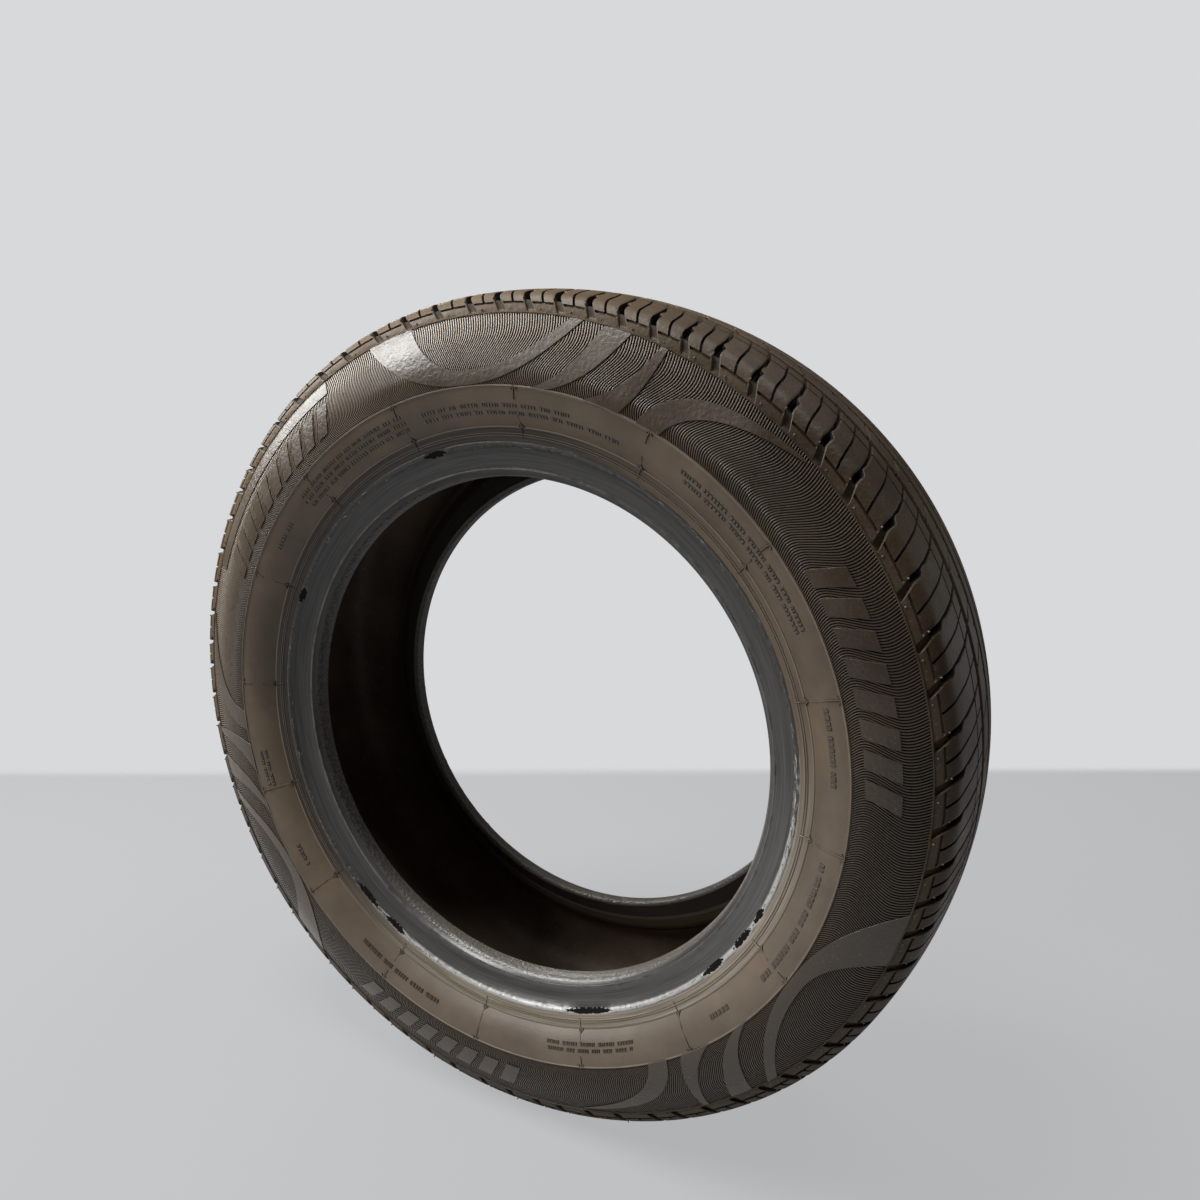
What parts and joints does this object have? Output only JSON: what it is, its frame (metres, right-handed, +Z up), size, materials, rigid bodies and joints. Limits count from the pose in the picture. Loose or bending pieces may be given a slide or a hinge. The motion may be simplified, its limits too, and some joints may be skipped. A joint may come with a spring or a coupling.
{
  "type": "car tyre",
  "caption": "Unmounted passenger car tyre standing on its tread, with grooved shoulder blocks, ribbed sidewalls with raised bands, and two bead seats.",
  "frame": {"origin": "wheel centre: on the spin axis, midway between the two beads", "axes": "+Y along the spin axis, away from the sidewall that faces the viewer; +Z up, through the top of the tread"},
  "size_m": [0.578, 0.1898, 0.5772],
  "materials": {
    "tyre": "moulded rubber, dusty, worn bright at the rim ridges"
  },
  "bodies": {
    "root": {"tyre": "tyre"}
  },
  "joints": []
}
